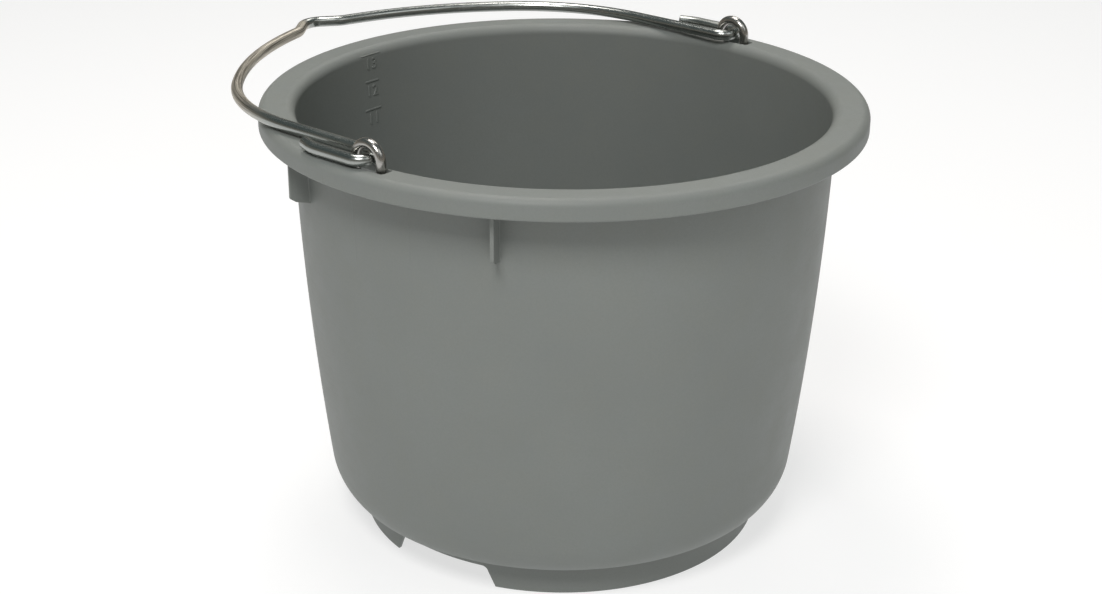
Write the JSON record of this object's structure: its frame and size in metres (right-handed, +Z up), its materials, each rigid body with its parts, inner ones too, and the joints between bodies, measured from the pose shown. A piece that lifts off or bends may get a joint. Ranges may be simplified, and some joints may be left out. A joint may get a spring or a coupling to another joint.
{
  "type": "builder's bucket",
  "caption": "Round plastic builder's bucket with a rolled rim, stacking fins, notched foot ring and a folding steel wire bail hooked into wire eyes.",
  "frame": {"origin": "on the bucket's axis, in the plane that the foot ring stands on", "axes": "+Z up along the bucket's axis; the hinge line through the two wire eyes lies along X; the folded bail points along +Y"},
  "size_m": [0.328, 0.368, 0.2575],
  "materials": {
    "bucket_plastic": "matte grey polyethylene with a fine moulded grain",
    "bail_wire": "zinc-plated steel wire, satin, with draw lines and small tool marks",
    "eye_wire": "bright zinc-plated steel wire"
  },
  "bodies": {
    "bucket": {"bucket_shell": "bucket_plastic", "rim": "bucket_plastic", "foot_ring": "bucket_plastic", "fin_1": "bucket_plastic", "fin_2": "bucket_plastic", "fin_3": "bucket_plastic", "fin_4": "bucket_plastic", "mark_11": "bucket_plastic", "mark_12": "bucket_plastic", "mark_13": "bucket_plastic", "eye_left": "eye_wire", "eye_right": "eye_wire"},
    "bail": {"bail": "bail_wire"}
  },
  "joints": [
    {"name": "bail_swing", "type": "hinge", "parent": "bucket", "child": "bail", "pos_m": [0, -0.0041, 0.247], "axis": [1, 0, 0], "range_deg": [0, 180]}
  ]
}
